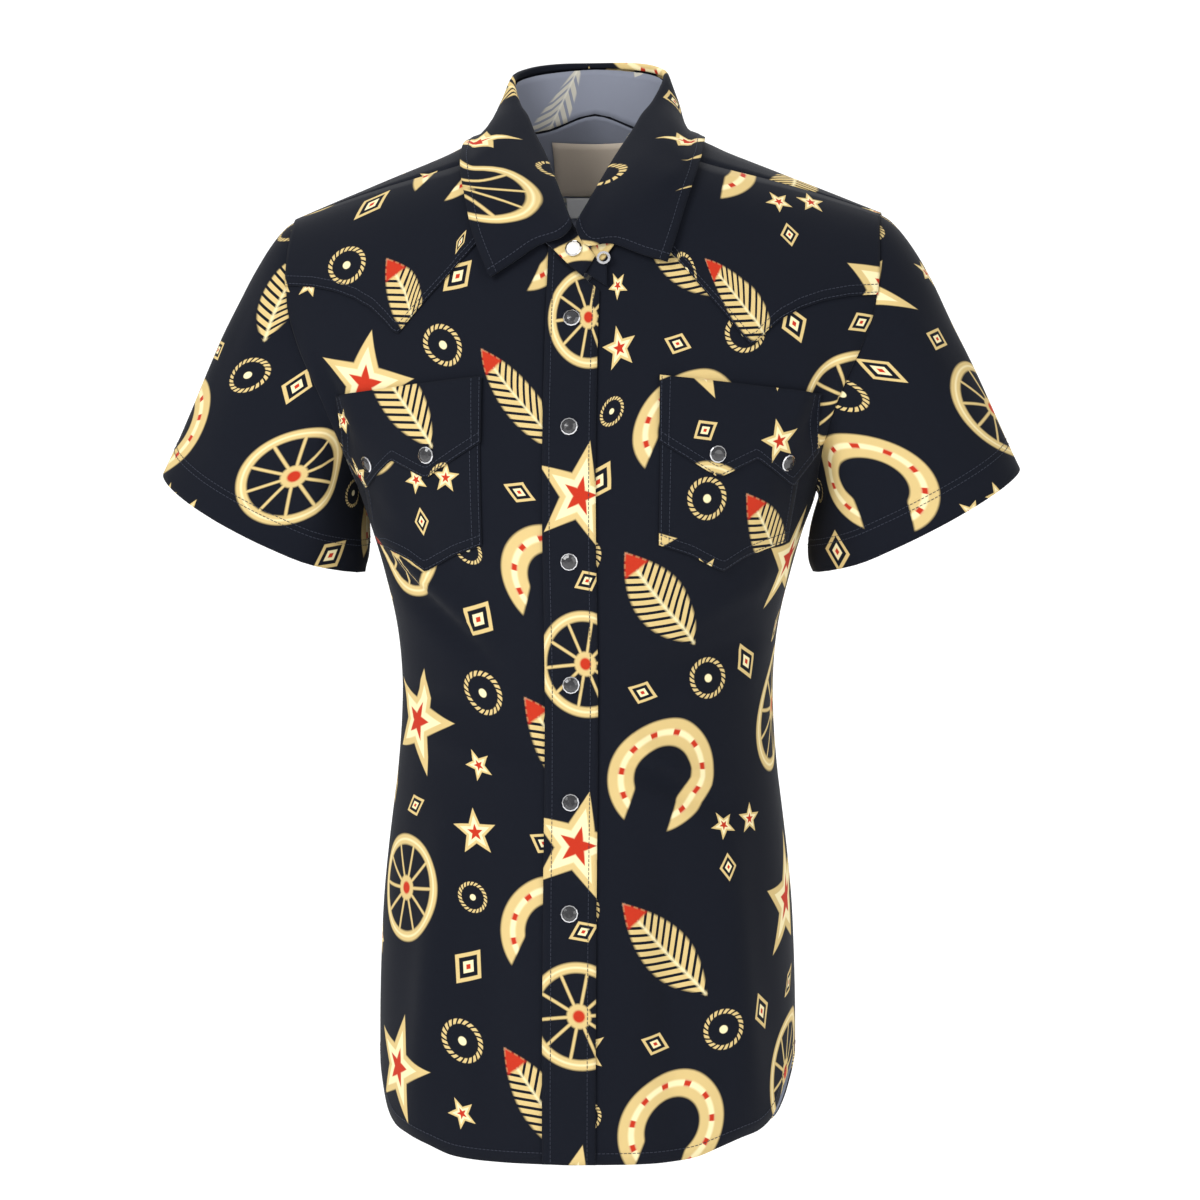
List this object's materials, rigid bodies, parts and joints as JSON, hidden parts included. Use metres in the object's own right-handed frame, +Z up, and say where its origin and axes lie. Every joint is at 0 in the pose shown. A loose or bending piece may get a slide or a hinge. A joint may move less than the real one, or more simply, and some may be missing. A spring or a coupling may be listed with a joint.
{
  "type": "western snap shirt",
  "caption": "Short-sleeved western snap shirt, worn and hollow: pointed yokes, sawtooth flap pockets, pearl snaps, pointed collar and a shirt-tail hem.",
  "frame": {"origin": "where the wearer holds it up: the middle of the neck's base, level with the shoulders", "axes": "+Z up, the front faces -Y, +X towards the wearer's left"},
  "size_m": [0.634, 0.2588, 0.8177],
  "materials": {
    "printed_cotton": "matte printed cotton",
    "black_pearl": "gloss",
    "white_pearl": "pearl",
    "silver_metal": "polished",
    "label_cloth": "woven, bare",
    "tab_cloth": "woven, bare"
  },
  "bodies": {
    "root": {"back": "printed_cotton", "cap_flap_left_1": "black_pearl", "cap_flap_left_2": "black_pearl", "cap_flap_right_1": "black_pearl", "cap_flap_right_2": "black_pearl", "cap_front_1": "black_pearl", "cap_front_2": "black_pearl", "cap_front_3": "black_pearl", "cap_front_4": "black_pearl", "cap_front_5": "black_pearl", "cap_front_6": "black_pearl", "cap_stand": "white_pearl", "collar": "printed_cotton", "collar_stand": "printed_cotton", "flap_left": "printed_cotton", "flap_right": "printed_cotton", "front_left": "printed_cotton", "front_right": "printed_cotton", "label": "label_cloth", "placket_right": "printed_cotton", "pocket_left": "printed_cotton", "pocket_right": "printed_cotton", "ring_flap_left_1": "silver_metal", "ring_flap_left_2": "silver_metal", "ring_flap_right_1": "silver_metal", "ring_flap_right_2": "silver_metal", "ring_front_1": "silver_metal", "ring_front_2": "silver_metal", "ring_front_3": "silver_metal", "ring_front_4": "silver_metal", "ring_front_5": "silver_metal", "ring_front_6": "silver_metal", "ring_stand": "silver_metal", "size_tab": "tab_cloth", "sleeve_left": "printed_cotton", "sleeve_right": "printed_cotton", "socket_stand": "silver_metal", "yoke_back": "printed_cotton", "yoke_front_left": "printed_cotton", "yoke_front_right": "printed_cotton"}
  },
  "joints": []
}
